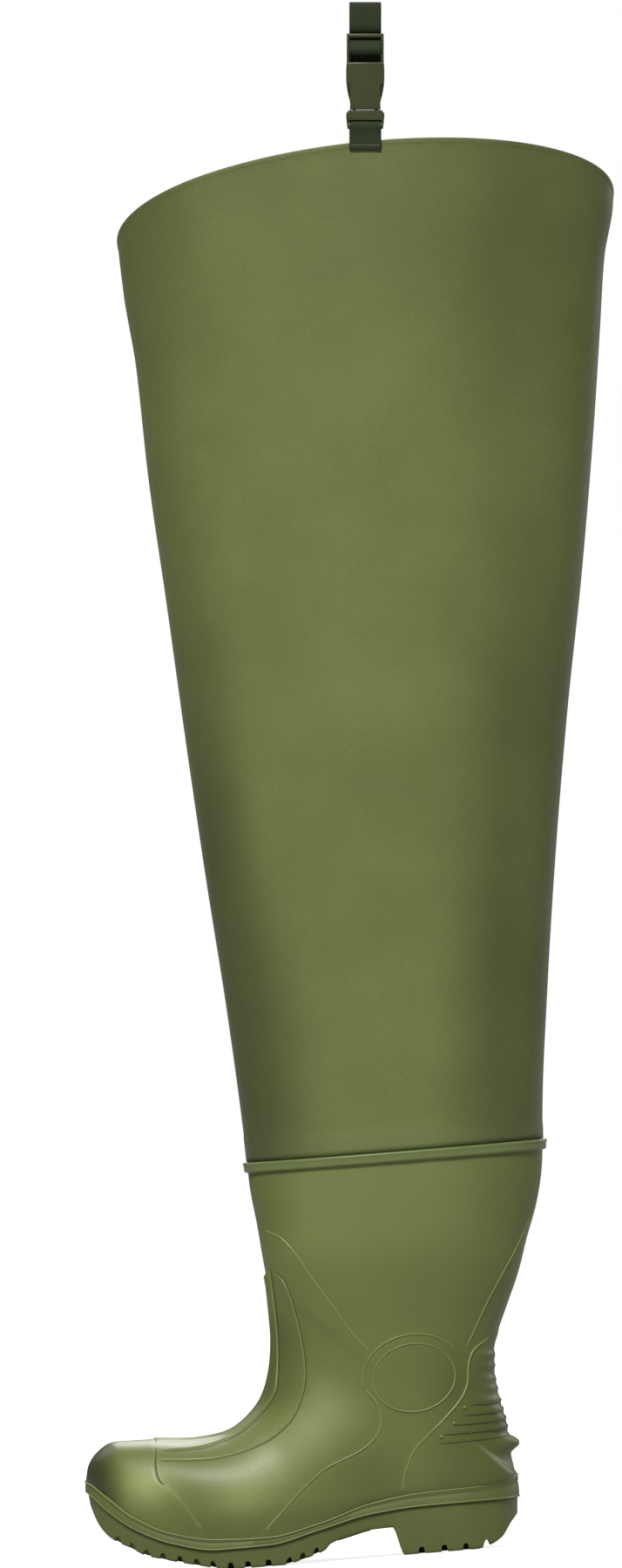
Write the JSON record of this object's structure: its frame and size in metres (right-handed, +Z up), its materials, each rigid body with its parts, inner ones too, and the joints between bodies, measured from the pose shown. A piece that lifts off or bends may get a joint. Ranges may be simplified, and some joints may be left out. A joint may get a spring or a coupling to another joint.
{
  "type": "hip wader",
  "caption": "Left hip wader: moulded olive boot with lugged sole, tall coated fabric shaft cut slantwise, and a side-release buckle with a belt loop.",
  "frame": {"origin": "on the floor under the middle of the heel", "axes": "+X towards the toe, +Y towards the wearer's left, which is the outer side, +Z up"},
  "size_m": [0.4241, 0.1105, 1.0398],
  "materials": {
    "moulded_boot": "matt moulded foam rubber",
    "sole_rubber": "matt moulded tread",
    "coated_fabric": "satin coated nylon",
    "webbing": "woven webbing",
    "buckle_plastic": "satin moulded plastic",
    "footbed": "felted lining"
  },
  "bodies": {
    "root": {"boot_upper": "moulded_boot", "outsole": "sole_rubber", "insole": "footbed", "shaft": "coated_fabric", "seam_bead": "moulded_boot", "hanger_webbing": "webbing", "buckle_male": "buckle_plastic", "buckle_female": "buckle_plastic", "belt_loop": "webbing"}
  },
  "joints": []
}
